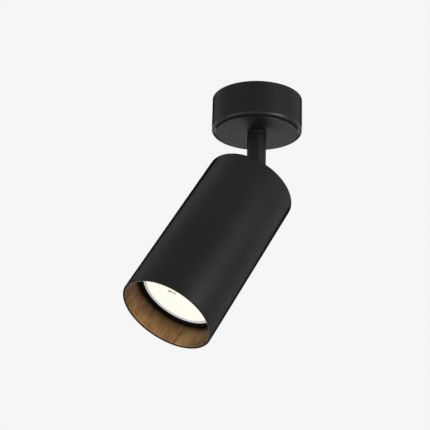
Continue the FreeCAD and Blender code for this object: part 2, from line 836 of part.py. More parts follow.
def make_earth_point(prefix, frame, boss_top):
    """Washer, ring terminal and screw on an earth boss about the frame's Z axis."""
    washer_top = boss_top + size.earth_washer_thickness
    make_toothed_washer(prefix + "_washer", frame, size.earth_screw_radius + size.running_gap,
                        size.earth_washer_radius, boss_top, washer_top)
    make_ring_terminal(prefix + "_ring_terminal", frame, washer_top)
    seat = washer_top + size.ring_terminal_thickness
    tip = boss_top - size.earth_screw_bite
    top = seat + size.earth_screw_head_height
    screw = new_piece(prefix + "_screw", frame)
    turned(screw, [
        (ZERO, tip), (size.earth_screw_radius, tip), (size.earth_screw_radius, seat),
        (size.earth_screw_head_radius, seat), (size.earth_screw_head_radius, top), (ZERO, top),
    ])
    slot = size.earth_screw_slot / 2
    reach = size.earth_screw_head_radius + size.overrun
    cut(screw, "Z", top - size.earth_screw_slot_depth, top, rectangle(-slot, slot, -reach, reach))


def make_canopy_leads():
    """Leads from the nipple's mouth to the terminal block, and the canopy's earth lead."""
    drop = block_near - size.lead_drop_gap
    end = block_near + size.lead_grip
    level = clamp_centre + size.lead_stack
    labels = ["live_lead", "neutral_lead", "earth_lead"]
    rises = [size.outer_lead_rise, size.middle_lead_rise, size.outer_lead_rise]
    for label, side, pole, rise in zip(labels, (-1, 0, 1), poles, rises):
        start = polar(size.lead_pitch * side, size.rest_pan)
        top = lead_entry + rise
        leads(label, CANOPY, [[
            (*start, lead_entry), (*start, top), (pole, drop, top),
            (pole, drop, level), (pole, end, level),
        ]])
    low = clamp_centre - size.lead_stack
    leads("earth_bond_lead", CANOPY, [[
        (earth_x, barrel_near + size.fit_gap, barrel_level),
        (earth_x, barrel_far + size.bond_lead_side, barrel_level),
        (size.pole_pitch, block_near - size.bond_lead_approach, low),
        (size.pole_pitch, end, low),
    ]])


def ring(piece, inner, outer, low, high):
    """A plain flat ring."""
    return turned(piece, rectangle(inner, outer, low, high))


def make_pan_bearing():
    """Everything on the nipple that lets the stem turn, and stops it short of a full turn."""
    bore = size.nipple_radius + size.running_gap
    ring(new_piece("pan_washer_outer", STEM), bore, size.stem_radius, stem_top, canopy_under)
    ring(new_piece("pan_washer_inner", STEM), bore, size.pan_washer_radius, floor_top, inner_washer_top)

    stop = new_piece("stop_washer", STEM)
    ring(stop, bore, size.pan_washer_radius, inner_washer_top, stop_washer_top)
    half = size.stop_tab_width / 2
    middle = (bore + size.pan_washer_radius) / 2
    padded(stop, "Z", inner_washer_top, stop_washer_top,
           rectangle(middle, size.stop_tab_reach, -half, half))
    flat = size.nipple_radius - size.nipple_flat
    key = size.nipple_radius - size.nipple_flat + size.fit_gap
    width = root(bore * bore - key * key)
    padded(stop, "Z", inner_washer_top, stop_washer_top, rectangle(key, middle, -width, width))

    spring = new_piece("disc_spring", STEM)
    thin = size.disc_spring_thickness
    turned(spring, [
        (size.disc_spring_radius, stop_washer_top),
        (size.disc_spring_radius, stop_washer_top + thin),
        (bore, disc_spring_top),
        (bore, disc_spring_top - thin),
    ])

    thread = size.nipple_radius + size.fit_gap
    levels = (("pan_nut", disc_spring_top, pan_nut_top), ("lock_nut", pan_nut_top, lock_nut_top))
    for label, under, top in levels:
        nut = new_piece(label, STEM)
        padded(nut, "Z", under, top, hexagon(ZERO, ZERO, size.nut_across_flats), Circle(ZERO, ZERO, thread))

    nipple = new_piece("threaded_nipple", STEM)
    bottom = stem_top - size.nipple_bite
    ring(nipple, size.nipple_bore, size.nipple_radius, bottom, nipple_top)
    cut(nipple, "Z", inner_washer_top, nipple_top,
        rectangle(flat, size.nipple_radius + size.overrun, -size.nipple_radius, size.nipple_radius))

    bush = new_piece("nipple_bush", STEM)
    low = bush_top - size.bush_length
    neck = size.nipple_bore - size.fit_gap
    turned(bush, [
        (size.bush_bore, low), (neck, low), (neck, nipple_top),
        (size.bush_radius, nipple_top), (size.bush_radius, bush_top), (size.bush_bore, bush_top),
    ])

    pin = new_piece("pan_stop_pin", CANOPY)
    padded(pin, "Z", floor_top - size.stop_pin_seat, floor_top + size.stop_pin_height,
           Circle(*stop_pin_place, size.stop_pin_radius))


def make_stem():
    """The tube below the canopy and the upper half of the knuckle in its end."""
    tube = new_piece("stem_tube", STEM)
    edge = size.stem_edge
    bore = size.nipple_radius + size.fit_gap
    turned(tube, [
        (bore, stem_bottom), (size.stem_radius - edge, stem_bottom),
        (size.stem_radius, stem_bottom + edge), (size.stem_radius, stem_top - edge),
        (size.stem_radius - edge, stem_top), (bore, stem_top),
    ])

    upper = new_piece("knuckle_upper", STEM)
    turned(upper, [
        (ZERO, pivot_level - size.stem_radius), (size.stem_radius, pivot_level - size.stem_radius),
        (size.stem_radius, stem_bottom - edge), (size.stem_radius - edge, stem_bottom),
        (size.stub_radius, stem_bottom), (size.stub_radius, stem_bottom + size.upper_stub_length),
        (ZERO, stem_bottom + size.upper_stub_length),
    ])
    reach = size.stem_radius + size.overrun
    cut(upper, "Z", pivot_level + size.chamber_radius / 2, stem_bottom + size.upper_stub_length,
        Circle(ZERO, ZERO, size.knuckle_bore))
    cut(upper, "Z", pivot_level - reach, pivot_level + shoulder,
        rectangle(-reach, lap_face, -reach, reach))
    cut(upper, "X", -reach, reach, [
        (-reach, pivot_level), (-size.stem_radius, pivot_level), Arc(ZERO, pivot_level, True),
        (size.stem_radius, pivot_level), (reach, pivot_level),
        (reach, pivot_level - reach), (-reach, pivot_level - reach),
    ])
    cut_chamber(upper, pivot_level, lap_face, lap_face + size.chamber_depth, HALF_TURN)
    cut(upper, "X", lap_face, reach, Circle(ZERO, pivot_level, pivot_hole))
    cut(upper, "X", head_seat, reach, Circle(ZERO, pivot_level, size.pivot_head_radius + size.running_gap))


def cut_chamber(piece, level, low, high, first):
    """The lead chamber in a tongue, open over the quarter that the other bore sweeps.

    The opening starts at the angle first, in degrees, in the plane of the swing.
    """
    cut(piece, "X", low, high, Circle(ZERO, level, size.chamber_radius))
    spread = arcsine(size.knuckle_bore, size.stem_radius)
    reach = size.stem_radius + size.overrun
    begin = polar(reach, -spread + first)
    finish = polar(reach, spread + size.tilt_range + first)
    middle = polar(reach, (size.tilt_range + first * 2) / 2)
    cut(piece, "X", low, high, [
        (ZERO, level), (begin[0], level + begin[1]), Arc(ZERO, level, True),
        (middle[0], level + middle[1]), Arc(ZERO, level, True), (finish[0], level + finish[1]),
    ])


def make_knuckle_fasteners():
    """The screw that the knuckle tilts on, with its spring washer and nut."""
    screw = new_piece("pivot_screw", STEM)
    head_end = head_seat + size.pivot_head_height
    tip = -(nut_seat + size.pivot_washer_thickness + size.pivot_nut_height)
    turned(screw, [
        (tip, ZERO), (head_end, ZERO), (head_end, size.pivot_head_radius),
        (head_seat, size.pivot_head_radius), (head_seat, size.pivot_screw_radius),
        (tip, size.pivot_screw_radius),
    ], along="X", z=pivot_level)
    cut(screw, "X", head_end - size.pivot_socket_depth, head_end,
        hexagon(ZERO, pivot_level, size.pivot_socket))
    washer_end = nut_seat + size.pivot_washer_thickness
    washer = new_piece("pivot_washer", STEM)
    padded(washer, "X", -washer_end, -nut_seat,
           Circle(ZERO, pivot_level, size.pivot_washer_radius), Circle(ZERO, pivot_level, pivot_hole))
    nut = new_piece("pivot_nut", STEM)
    padded(nut, "X", -(washer_end + size.pivot_nut_height), -washer_end,
           hexagon(ZERO, pivot_level, size.pivot_nut_flats),
           Circle(ZERO, pivot_level, size.pivot_screw_radius + size.fit_gap))


def make_stem_leads():
    """Three leads down the stem, and their bends past the pivot screw."""
    bottom = pivot_level + collar_end - size.fit_gap
    places = [size.lead_pitch * side for side in (-1, 0, 1)]
    leads("stem_leads", STEM, [[(x, ZERO, bush_top), (x, ZERO, bottom)] for x in places])

    half = (size.tilt_range * 2 - size.rest_tilt) / 2
    centre = half + SQUARE
    spread = half * BYPASS_SHARE
    outer = collar_end - size.fit_gap
    inner = outer - size.knuckle_lead_run
    below = size.rest_tilt + SQUARE
    route = [
        polar(outer, Size(SQUARE, "90")),
        polar(inner, Size(SQUARE, "90")),
        polar(size.bypass_radius, centre - spread),
        polar(size.bypass_radius, centre),
        polar(size.bypass_radius, centre + spread),
        polar(inner, -below),
        polar(outer, -below),
    ]
    leads("knuckle_leads", STEM, [[(x, y, pivot_level + z) for y, z in route] for x in places])


def make_knuckle_lower():
    """The lower half of the knuckle; its square rear corner stops the tilt at upright."""
    lower = new_piece("knuckle_lower", HEAD)
    edge = size.stem_edge
    top = shoulder - size.tilt_stop_gap
    turned(lower, [
        (ZERO, lower_stub_end), (size.stub_radius, lower_stub_end), (size.stub_radius, cap_outside),
        (size.stem_radius - edge, cap_outside), (size.stem_radius, cap_outside + edge),
        (size.stem_radius, top), (ZERO, top),
    ])
    reach = size.stem_radius + size.overrun
    cut(lower, "Z", lower_stub_end, -size.chamber_radius / 2, Circle(ZERO, ZERO, size.knuckle_bore))
    cut(lower, "Z", -shoulder, top, rectangle(-lap_face, reach, -reach, reach))
    cut(lower, "X", -reach, reach, [
        (-reach, ZERO), (-size.stem_radius, ZERO), Arc(ZERO, ZERO, False),
        (ZERO, size.stem_radius), (ZERO, reach), (-reach, reach),
    ])
    cut_chamber(lower, ZERO, -(lap_face + size.chamber_depth), -lap_face, SQUARE)
    cut(lower, "X", -reach, -lap_face, Circle(ZERO, ZERO, pivot_hole))
    recess = size.pivot_nut_flats / ROOT_OF_THREE + size.part_gap
    cut(lower, "X", -reach, -nut_seat, Circle(ZERO, ZERO, recess))


def make_rear_cap():
    """The disc that closes the head, clamped to the knuckle by a nut."""
    cap = new_piece("rear_cap", HEAD)
    outer = head_bore - size.fit_gap
    inner = outer - size.cap_skirt_wall
    bore = size.stub_radius + size.fit_gap
    skirt_end = cap_inside - size.cap_skirt
    turned(cap, [
        (bore, cap_inside), (inner, cap_inside), (inner, skirt_end), (outer, skirt_end),
        (outer, cap_outside - size.cap_edge), (outer - size.cap_edge, cap_outside), (bore, cap_outside),
    ])
    padded(cap, "Z", cap_boss_top, cap_inside, Circle(size.cap_boss_ring, ZERO, size.earth_boss_radius))
    cut(cap, "Z", cap_boss_top, cap_boss_top + size.earth_screw_bite,
        Circle(size.cap_boss_ring, ZERO, size.earth_screw_radius + size.fit_gap))

    make_toothed_washer("cap_lock_washer", HEAD, bore, size.cap_washer_radius,
                        cap_washer_front, strap_front)
    nut = new_piece("cap_nut", HEAD)
    padded(nut, "Z", cap_nut_front, cap_washer_front,
           hexagon(ZERO, ZERO, size.nut_across_flats), Circle(ZERO, ZERO, bore))


def make_holder():
    """The strap under the cap, and the ceramic lamp holder that it carries."""
    strap = new_piece("holder_strap", HEAD)
    half_width = size.holder_strap_width / 2
    outer = size.holder_screw_spread / 2 + size.holder_strap_reach
    inner = outer - size.holder_strap_thickness
    foot = outer - size.holder_foot_length
    padded(strap, "X", -half_width, half_width, [
        (-outer, cap_inside), (-outer, cover_back), (-foot, cover_back), (-foot, foot_back),
        (-inner, foot_back), (-inner, strap_front), (inner, strap_front), (inner, foot_back),
        (foot, foot_back), (foot, cover_back), (outer, cover_back), (outer, cap_inside),
    ])
    cut(strap, "Z", strap_front, cap_inside, Circle(ZERO, ZERO, size.stub_radius + size.fit_gap))
    places = [-size.holder_screw_spread / 2, size.holder_screw_spread / 2]
    thread = size.holder_screw_radius + size.fit_gap
    cut(strap, "Z", cover_back, foot_back, *[Circle(ZERO, y, thread) for y in places])

    well_end = holder_front + size.holder_screw_sink + size.holder_screw_head_height
    pins = [ZERO, ZERO + HALF_TURN]
    holder = new_piece("lamp_holder", HEAD)
    turned(holder, rod(size.holder_radius, holder_front, holder_back, size.holder_edge))
    cavity = size.pin_head_radius + size.pin_cavity_gap
    slot = size.pin_radius + size.pin_slot_gap
    turn = -size.lamp_twist
    cut(holder, "Z", cavity_front, holder_back,
        *[curved_slot(size.pin_ring, cavity, pin + turn, pin) for pin in pins])
    cut(holder, "Z", holder_front, cavity_front,
        *[curved_slot(size.pin_ring, slot, pin + turn, pin) for pin in pins])
    entry = size.pin_head_radius + size.pin_slot_gap
    cut(holder, "Z", holder_front, cavity_front,
        *[Circle(*polar(size.pin_ring, pin + turn), entry) for pin in pins])
    cut(holder, "Z", holder_front, holder_back, *[Circle(ZERO, y, thread) for y in places])
    cut(holder, "Z", holder_front, well_end, *[Circle(ZERO, y, size.holder_well_radius) for y in places])

    cover = new_piece("holder_cover", HEAD)
    padded(cover, "Z", holder_back, cover_back, Circle(ZERO, ZERO, size.holder_radius),
           *[Circle(ZERO, y, thread) for y in places],
           *[Circle(*polar(size.pin_ring, pin), size.lead_radius + size.running_gap) for pin in pins])

    screws = new_piece("holder_screws", HEAD)
    head_front = holder_front + size.holder_screw_sink
    end = foot_back + size.holder_screw_end
    padded(screws, "Z", head_front, well_end,
           *[Circle(ZERO, y, size.holder_screw_head_radius) for y in places])
    padded(screws, "Z", well_end, end, *[Circle(ZERO, y, size.holder_screw_radius) for y in places])
    half_slot = size.holder_screw_slot / 2
    reach = size.holder_screw_head_radius + size.overrun
    cut(screws, "Z", head_front, head_front + size.holder_screw_slot_depth,
        *[rectangle(-reach, reach, y - half_slot, y + half_slot) for y in places])

    between_pins = Placement(Vector(0, 0, 0), Rotation(Vector(0, 0, 1), turn.value / 2))
    contacts = new_piece("holder_contacts", HEAD * between_pins)
    thin = size.contact_thickness
    leaf = pin_end + size.running_gap
    half_strip = size.contact_width / 2
    for side in (1, -1):
        near = size.contact_inner * side
        far = size.contact_outer * side
        heel = (size.contact_outer - thin) * side
        padded(contacts, "Y", -half_strip, half_strip, [
            (near, leaf), (far, leaf), (far, holder_back), (near, holder_back), (near, holder_back - thin),
            (heel, holder_back - thin), (heel, leaf + thin), (near, leaf + thin),
        ])


def make_head_leads():
    """Leads from the knuckle to the lamp holder, and the head's earth lead."""
    start = -(collar_end - size.fit_gap)
    across = size.lead_pitch
    room = lower_stub_end - cover_back
    first, second = [lower_stub_end - room * share for share in SPREAD_SHARES]
    routes = []
    for x, pin in ((-across, -size.pin_ring), (ZERO, size.pin_ring)):
        routes.append([
            (x, ZERO, start), (x, ZERO, first), (pin, ZERO, second), (pin, ZERO, holder_back),
        ])
    leads("lamp_leads", HEAD, routes)

    level = cap_boss_top - size.earth_washer_thickness - size.ring_barrel_radius
    barrel_end = size.cap_boss_ring - size.ring_terminal_radius - size.ring_barrel_offset
    approach = barrel_end - size.ring_barrel_length - size.earth_lead_approach
    dip = level - (level - cover_back) * EARTH_DIP_SHARE
    leads("head_earth_lead", HEAD, [[
        (across, ZERO, start), (across, ZERO, dip), (across + size.earth_lead_side, ZERO, dip),
        (approach, ZERO, level), (barrel_end, ZERO, level),
    ]])


def make_head_shell():
    """The outer tube, the ring round the lamp and the anti-glare sleeve in the mouth."""
    tube = new_piece("head_tube", HEAD)
    rear = station(ZERO)
    front = station(size.head_length)
    edge = size.head_edge
    turned(tube, [
        (head_bore, front), (head_radius - edge, front), (head_radius, front + edge),
        (head_radius, rear - edge), (head_radius - edge, rear), (head_bore, rear),
    ])
    ring(new_piece("lamp_centring_ring", HEAD), size.lamp_radius + size.part_gap, head_bore - size.fit_gap,
         centring_front, centring_front + size.centring_length)

    sleeve = new_piece("anti_glare_sleeve", HEAD)
    outer = head_bore - size.running_gap
    inner = outer - size.sleeve_wall
    mouth = front + size.sleeve_set_back
    turned(sleeve, [
        (inner, centring_front - size.running_gap), (inner, mouth + size.sleeve_lip),
        (inner + size.sleeve_lip, mouth), (outer, mouth), (outer, centring_front - size.running_gap),
    ])


def make_lamp():
    """The twist-lock reflector lamp: shell, base, pins, rim, lens and light source."""
    outer = size.lamp_radius
    inner = outer - size.lamp_wall
    neck = size.lamp_base_radius + size.fit_gap
    collar = lamp_face + size.lamp_rim_depth
    board_back = lamp_face + size.board_depth
    neck_front = lamp_face + size.lamp_neck_depth
    neck_end = neck_front + size.lamp_neck_length
    board_edge = inner - size.fit_gap
    shell = new_piece("lamp_shell", HEAD)
    turned(shell, [
        (inner, collar), (outer, collar), (outer, lamp_face + size.lamp_collar),
        (size.lamp_shoulder_radius, lamp_face + size.lamp_shoulder_depth),
        (neck + size.lamp_wall, neck_front), (neck + size.lamp_wall, neck_end), (neck, neck_end),
        (neck, neck_front - size.lamp_wall), (inner - size.board_ledge, board_back), (inner, board_back),
    ])

    base = new_piece("lamp_base", HEAD)
    base_front = lamp_face + size.lamp_base_depth
    edge = size.lamp_base_edge
    turned(base, [
        (ZERO, base_front), (size.lamp_base_radius, base_front), (size.lamp_base_radius, lamp_seat - edge),
        (size.lamp_base_radius - edge, lamp_seat), (ZERO, lamp_seat),
    ])
    places = [-size.pin_ring, size.pin_ring]
    root_end = lamp_seat - size.pin_root
    cut(base, "Z", root_end, lamp_seat, *[Circle(x, ZERO, size.pin_radius + size.fit_gap) for x in places])

    pins = new_piece("lamp_pins", HEAD)
    for x in places:
        turned(pins, [
            (ZERO, root_end), (size.pin_radius, root_end), (size.pin_radius, pin_catch),
            (size.pin_head_radius, pin_catch), (size.pin_head_radius, pin_end - size.pin_edge),
            (size.pin_head_radius - size.pin_edge, pin_end), (ZERO, pin_end),
        ], x=x)

    rim = new_piece("lamp_rim", HEAD)
    rim_inner = outer - size.lamp_rim_width
    ledge = rim_inner - size.lens_ledge
    ledge_level = lamp_face + size.lens_recess + size.lens_thickness
    turned(rim, [
        (rim_inner, lamp_face), (outer, lamp_face), (outer, collar), (ledge, collar),
        (ledge, ledge_level), (rim_inner, ledge_level),
    ])

    lens = new_piece("lamp_lens", HEAD)
    lens_radius = rim_inner - size.fit_gap
    lens_edge = lamp_face + size.lens_recess
    lens_crest = lens_edge - size.lens_crown
    crown_radius = (lens_radius * lens_radius / size.lens_crown + size.lens_crown) / 2
    turned(lens, [
        (ZERO, ledge_level), (ZERO, lens_crest), Arc(ZERO, lens_crest + crown_radius, True),
        (lens_radius, lens_edge), (lens_radius, ledge_level),
    ])

    board = new_piece("led_board", HEAD)
    board_front = board_back - size.board_thickness
    padded(board, "Z", board_front, board_back, Circle(ZERO, ZERO, board_edge))

    chips = new_piece("led_chips", HEAD)
    half = size.chip_side / 2
    chip = padded(chips, "Z", board_front - size.chip_height, board_front,
                  rectangle(size.chip_ring - half, size.chip_ring + half, -half, half))
    repeated(chips, [chip], CHIP_COUNT)


def export():
    """Check every object, then write each piece to its own file."""
    document.recompute()
    for thing in document.Objects:
        if "Invalid" in thing.State or "Error" in thing.State:
            raise RuntimeError("%s is %s" % (thing.Label, thing.State))
    for piece in pieces:
        if piece.Shape.isNull() or not piece.Shape.isValid() or not piece.Shape.Solids:
            raise RuntimeError("%s has no valid solid" % piece.Label)
    os.makedirs("parts", exist_ok=True)
    for piece in pieces:
        piece.Shape.exportStep(os.path.join("parts", piece.Label + ".step"))


make_canopy()
make_bracket()
make_canopy_screws()
make_terminal_block()
make_earth_point("earth", CANOPY_EARTH, earth_boss_top)
make_canopy_leads()
make_pan_bearing()
make_stem()
make_knuckle_fasteners()
make_stem_leads()
make_knuckle_lower()
make_rear_cap()
make_earth_point("head_earth", HEAD_EARTH, -cap_boss_top)
make_holder()
make_head_leads()
make_head_shell()
make_lamp()
export()
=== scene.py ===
import json
import math
from types import SimpleNamespace

import bmesh
import bpy
from mathutils import Matrix, Vector

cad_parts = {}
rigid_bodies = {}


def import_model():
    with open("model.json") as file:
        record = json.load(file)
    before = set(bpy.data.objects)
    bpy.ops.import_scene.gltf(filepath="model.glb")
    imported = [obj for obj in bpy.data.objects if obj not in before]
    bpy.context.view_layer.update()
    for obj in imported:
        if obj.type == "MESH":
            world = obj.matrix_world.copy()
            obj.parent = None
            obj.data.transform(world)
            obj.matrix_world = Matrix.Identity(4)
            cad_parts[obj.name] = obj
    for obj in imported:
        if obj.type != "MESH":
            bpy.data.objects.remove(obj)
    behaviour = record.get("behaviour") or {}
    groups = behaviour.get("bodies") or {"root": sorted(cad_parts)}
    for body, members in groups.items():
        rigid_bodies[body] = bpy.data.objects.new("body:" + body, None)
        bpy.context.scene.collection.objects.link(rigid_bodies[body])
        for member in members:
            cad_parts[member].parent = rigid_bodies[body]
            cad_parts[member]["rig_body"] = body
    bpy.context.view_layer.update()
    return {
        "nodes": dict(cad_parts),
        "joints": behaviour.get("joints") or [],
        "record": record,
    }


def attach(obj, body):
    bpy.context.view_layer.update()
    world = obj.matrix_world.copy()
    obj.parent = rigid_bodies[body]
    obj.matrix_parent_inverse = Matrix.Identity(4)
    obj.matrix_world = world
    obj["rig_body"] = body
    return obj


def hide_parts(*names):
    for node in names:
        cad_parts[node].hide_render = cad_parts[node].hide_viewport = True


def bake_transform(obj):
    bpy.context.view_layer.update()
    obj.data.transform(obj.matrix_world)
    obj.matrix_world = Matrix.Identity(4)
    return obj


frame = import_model()
nodes = frame["nodes"]
joints = {joint["name"]: joint for joint in frame["joints"]}
slots = {part["node"]: part["material_slot"] for part in frame["record"]["subparts"]}
for plain in list(bpy.data.materials):
    bpy.data.materials.remove(plain)

MM = 0.001

# The head's own frame has its origin at the pivot and its beam along -Z. The pivot's
# frame has its Z axis along the pivot screw, towards the screw's head.
REST_PAN = math.radians(-55)
REST_TILT = math.radians(32)
PIVOT = Vector(joints["head_tilt"]["pos_m"])
STEM = Matrix.Rotation(REST_PAN, 4, "Z")
HEAD_TURN = STEM @ Matrix.Rotation(-REST_TILT, 4, "X")
HEAD = Matrix.Translation(PIVOT) @ HEAD_TURN
ALONG_PIVOT = Matrix(((0, 0, 1, 0), (1, 0, 0, 0), (0, 1, 0, 0), (0, 0, 0, 1)))
PIN = Matrix.Translation(PIVOT) @ STEM @ ALONG_PIVOT

# The photograph's view: seen from below, a little rolled
CAMERA_PLACE = Vector((-26.16, -698.62, -337.58)) * MM
CAMERA_RISE = math.radians(20.06)
CAMERA_ROLL = math.radians(1.70)
CAMERA_LENS = 96.1
SENSOR_WIDTH = 36
LEVEL_TURN = math.radians(90)

# The surround and the floor
BACKDROP_SHADE = 0.92
SKY_SHADE = 0.55
FLOOR_DARK = 0.73
FLOOR_PALE = 0.75
FLOOR_ROUGH = 0.8
FLOOR_LEVEL = -0.95
FLOOR_REACH = 20.0
FLOOR_CORNERS = ((-1, -1), (1, -1), (1, 1), (-1, 1))
FLOOR_GLOW_SHARE = 0.5

# Lamps: each softbox has a place and a width in metres and a power in watts
LAMP_TARGET = (0, 0, -0.09)
SOFTBOXES = {
    "key": ((0.97, -0.83, -0.1), 0.65, 15),
    "fill": ((-1.1, -0.7, -0.2), 0.8, 4.5),
    "low": ((0.7, -0.5, -0.8), 0.18, 0.9),
    "back": ((0, 1.1, -0.55), 1.0, 3),
}
SUN_AIM = (0, -1, -1)
SUN_STRENGTH = 0.8
SUN_SPREAD = math.radians(40)

# Where most values of a noise lie
NOISE_LOW = 0.3
NOISE_HIGH = 0.7

# Black coat, its gloss at grazing angles, and the shine of the canopy's turned lip
COAT_ROUGH = 0.48
COAT_GLOSS = 0.11
EDGE_GLOSS = 0.0
EDGE_START = 0.53
EDGE_STOP = 0.77
LIP_LOW = -23.25 * MM
LIP_HIGH = -21.7 * MM
LIP_ROUGH = 0.3
LIP_GLOSS = 0.31
LIP_SHARES = [(0.0, 0.0), (0.2, 1.0), (0.8, 1.0), (1.0, 0.0)]

# The sleeve's patina, and painted light and shade from the mouth to the lamp: a thin dark band at the
# front edge, a painted highlight just inside the mouth, and painted shade deepening towards the lamp
SLEEVE_METAL = 0.85
PATINA_SHARES = [
    (0.34, (0.200, 0.080, 0.036)), (0.46, (0.360, 0.170, 0.074)),
    (0.55, (0.440, 0.265, 0.108)), (0.68, (0.600, 0.320, 0.150)),
]
MOTTLE_SHARE = 0.4
SLEEVE_PAINTED_SHADE_SHARES = [
    (0.0, 0.12), (0.012, 0.90), (0.05, 0.95), (0.09, 0.78), (0.20, 0.74),
    (0.45, 0.50), (0.70, 0.31), (0.86, 0.16), (1.0, 0.05),
]

# The lamp's silver, and a painted glow on its front ring, from the lens outwards, standing for the
# lens's light on it
SILVER_METAL = 0.6
SILVER_DARK = (0.62, 0.62, 0.63)
SILVER_PALE = (0.68, 0.68, 0.69)
RIM_PAINTED_GLOW_DARK = (0.82, 0.82, 0.84)
RIM_PAINTED_GLOW_PALE = (0.95, 0.95, 0.96)
RIM_PAINTED_GLOW_SHARES = [(0.0, 0.13), (0.18, 0.16), (0.32, 0.54), (1.0, 0.46)]

# The lit lens, with brown specks at places across the beam and a level along it, in mm
# in the head's frame
LENS_DARK = (0.02, 0.02, 0.018)
LENS_PALE = (0.03, 0.03, 0.028)
LENS_GLOW_DARK = (0.94, 0.94, 0.83)
LENS_GLOW_PALE = (0.97, 0.97, 0.87)
SPECKS = ((-5.6, -4.9), (-4.2, -4.2), (-3.1, -2.2))
SPECK_LEVEL = -105.8
SPECK_REACH = 1.7 * MM
SPECK_BROWN = (0.42, 0.20, 0.08)
SPECK_SHARES = [(0.0, 0.0), (0.35, 0.25), (0.6, 0.8)]

# Insulation of the earth leads
LEAD_GREEN = (0.02, 0.20, 0.03)
LEAD_YELLOW = (0.75, 0.55, 0.02)
STRIPE_BLUR = 0.05

# Numbers of the inputs and the output of a node that mixes colours
MIX_SHARE = 0
MIX_FIRST = 6
MIX_SECOND = 7
MIX_RESULT = 2

# Turned pieces: steps round them and round an eased corner
TURN_STEPS = 192
EASE_STEPS = 5
LENS_RINGS = 20
SAME_PLACE = 0.001 * MM
FIT_GAP = 0.05 * MM

# Eases of edges: a tube's are in mm, in the order inner low, outer low, outer high, inner high
HEAD_TUBES = {
    "head_tube": (0.12, 0.45, 0.45, 0.15),
    "anti_glare_sleeve": (0.45, 0.1, 0.1, 0.1),
    "lamp_centring_ring": (0.25, 0.2, 0.2, 0.2),
}
STEM_TUBE_EASES = (0.1, 0.35, 0.35, 0.1)
RIM_INNER_EASE = 0.35 * MM
RIM_OUTER_EASE = 0.45 * MM

# Threads, and the nuts and screws that carry them
THREAD_STEPS = 96
RINGS_PER_PITCH = 8
THREAD_SHARE = 0.61
CREST_SHARE = 0.12
HEX_PART = math.tau / 6
NIPPLE_PITCH = 1.0 * MM
NIPPLE_RADIUS = 5.0 * MM
NIPPLE_FLAT = 4.3 * MM
NUT_FLATS = 14.0 * MM
NUT_FACE_SHARE = 0.96
NUT_SLOPE_SHARE = 0.5
NUT_LEAD = 0.2 * MM
PIVOT_PITCH = 0.7 * MM
PIVOT_SHANK = 2.0 * MM
PIVOT_FLATS = 7.0 * MM
PIVOT_HEAD_HEIGHT = 2.0 * MM
PIVOT_HEAD_EASE = 0.35 * MM
PIVOT_ROUND_SHARE = 0.3
SOCKET_FLATS = 2.5 * MM
SOCKET_DEPTH = 1.2 * MM

# Pieces whose sharp edges are rounded, by the width of the rounding in mm
SOFT_EDGES = {
    0.2: "ceiling_canopy knuckle_upper knuckle_lower rear_cap",
    0.3: "mounting_bracket terminal_block lamp_holder holder_cover holder_strap",
    0.12: "canopy_grub_screws terminal_screws terminal_mount_screws earth_screw head_earth_screw "
          "holder_screws earth_washer head_earth_washer",
    0.1: "terminal_clamps earth_ring_terminal head_earth_ring_terminal stop_washer nipple_bush",
}
SMOOTH_ANGLE = math.radians(32)
BEVEL_ANGLE = math.radians(50)
BEVEL_STEPS = 2
SAME_PLANE = math.radians(0.3)

# The leads past the pivot screw, in mm: points in the pivot frame's level plane, and where
# along the screw each lead lies
KNUCKLE_ROUTE = [
    (0.0, 9.65), (0.0, 6.75), (-2.106, 2.795), (-3.364, 0.965), (-3.268, -1.254),
    (-3.577, -5.724), (-5.114, -8.184),
]
LEAD_SPREAD = (-1.5, 0.0, 1.5)
LEAD_RADIUS = 0.65 * MM
LEAD_ROUND_STEPS = 6
LEAD_RUN_STEPS = 10
LEAD_SPLINE_ORDER = 3


def grey(shade):
    """A shade as a colour."""
    return (shade, shade, shade)


def added(name, data):
    """A new object in the scene."""
    thing = bpy.data.objects.new(name, data)
    bpy.context.scene.collection.objects.link(thing)
    return thing


def measured(node, home):
    """A node's least and greatest radius about a frame's Z axis, its lowest and highest level,
    and the lowest level of its rim."""
    back = home.inverted()
    places = [back @ vertex.co for vertex in nodes[node].data.vertices]
    radii = [math.hypot(place.x, place.y) for place in places]
    levels = [place.z for place in places]
    outer = max(radii)
    rim = [level for level, radius in zip(levels, radii) if radius > outer - SAME_PLACE]
    return SimpleNamespace(
        inner=min(radii), outer=outer, low=min(levels), high=max(levels), rim_low=min(rim),
    )


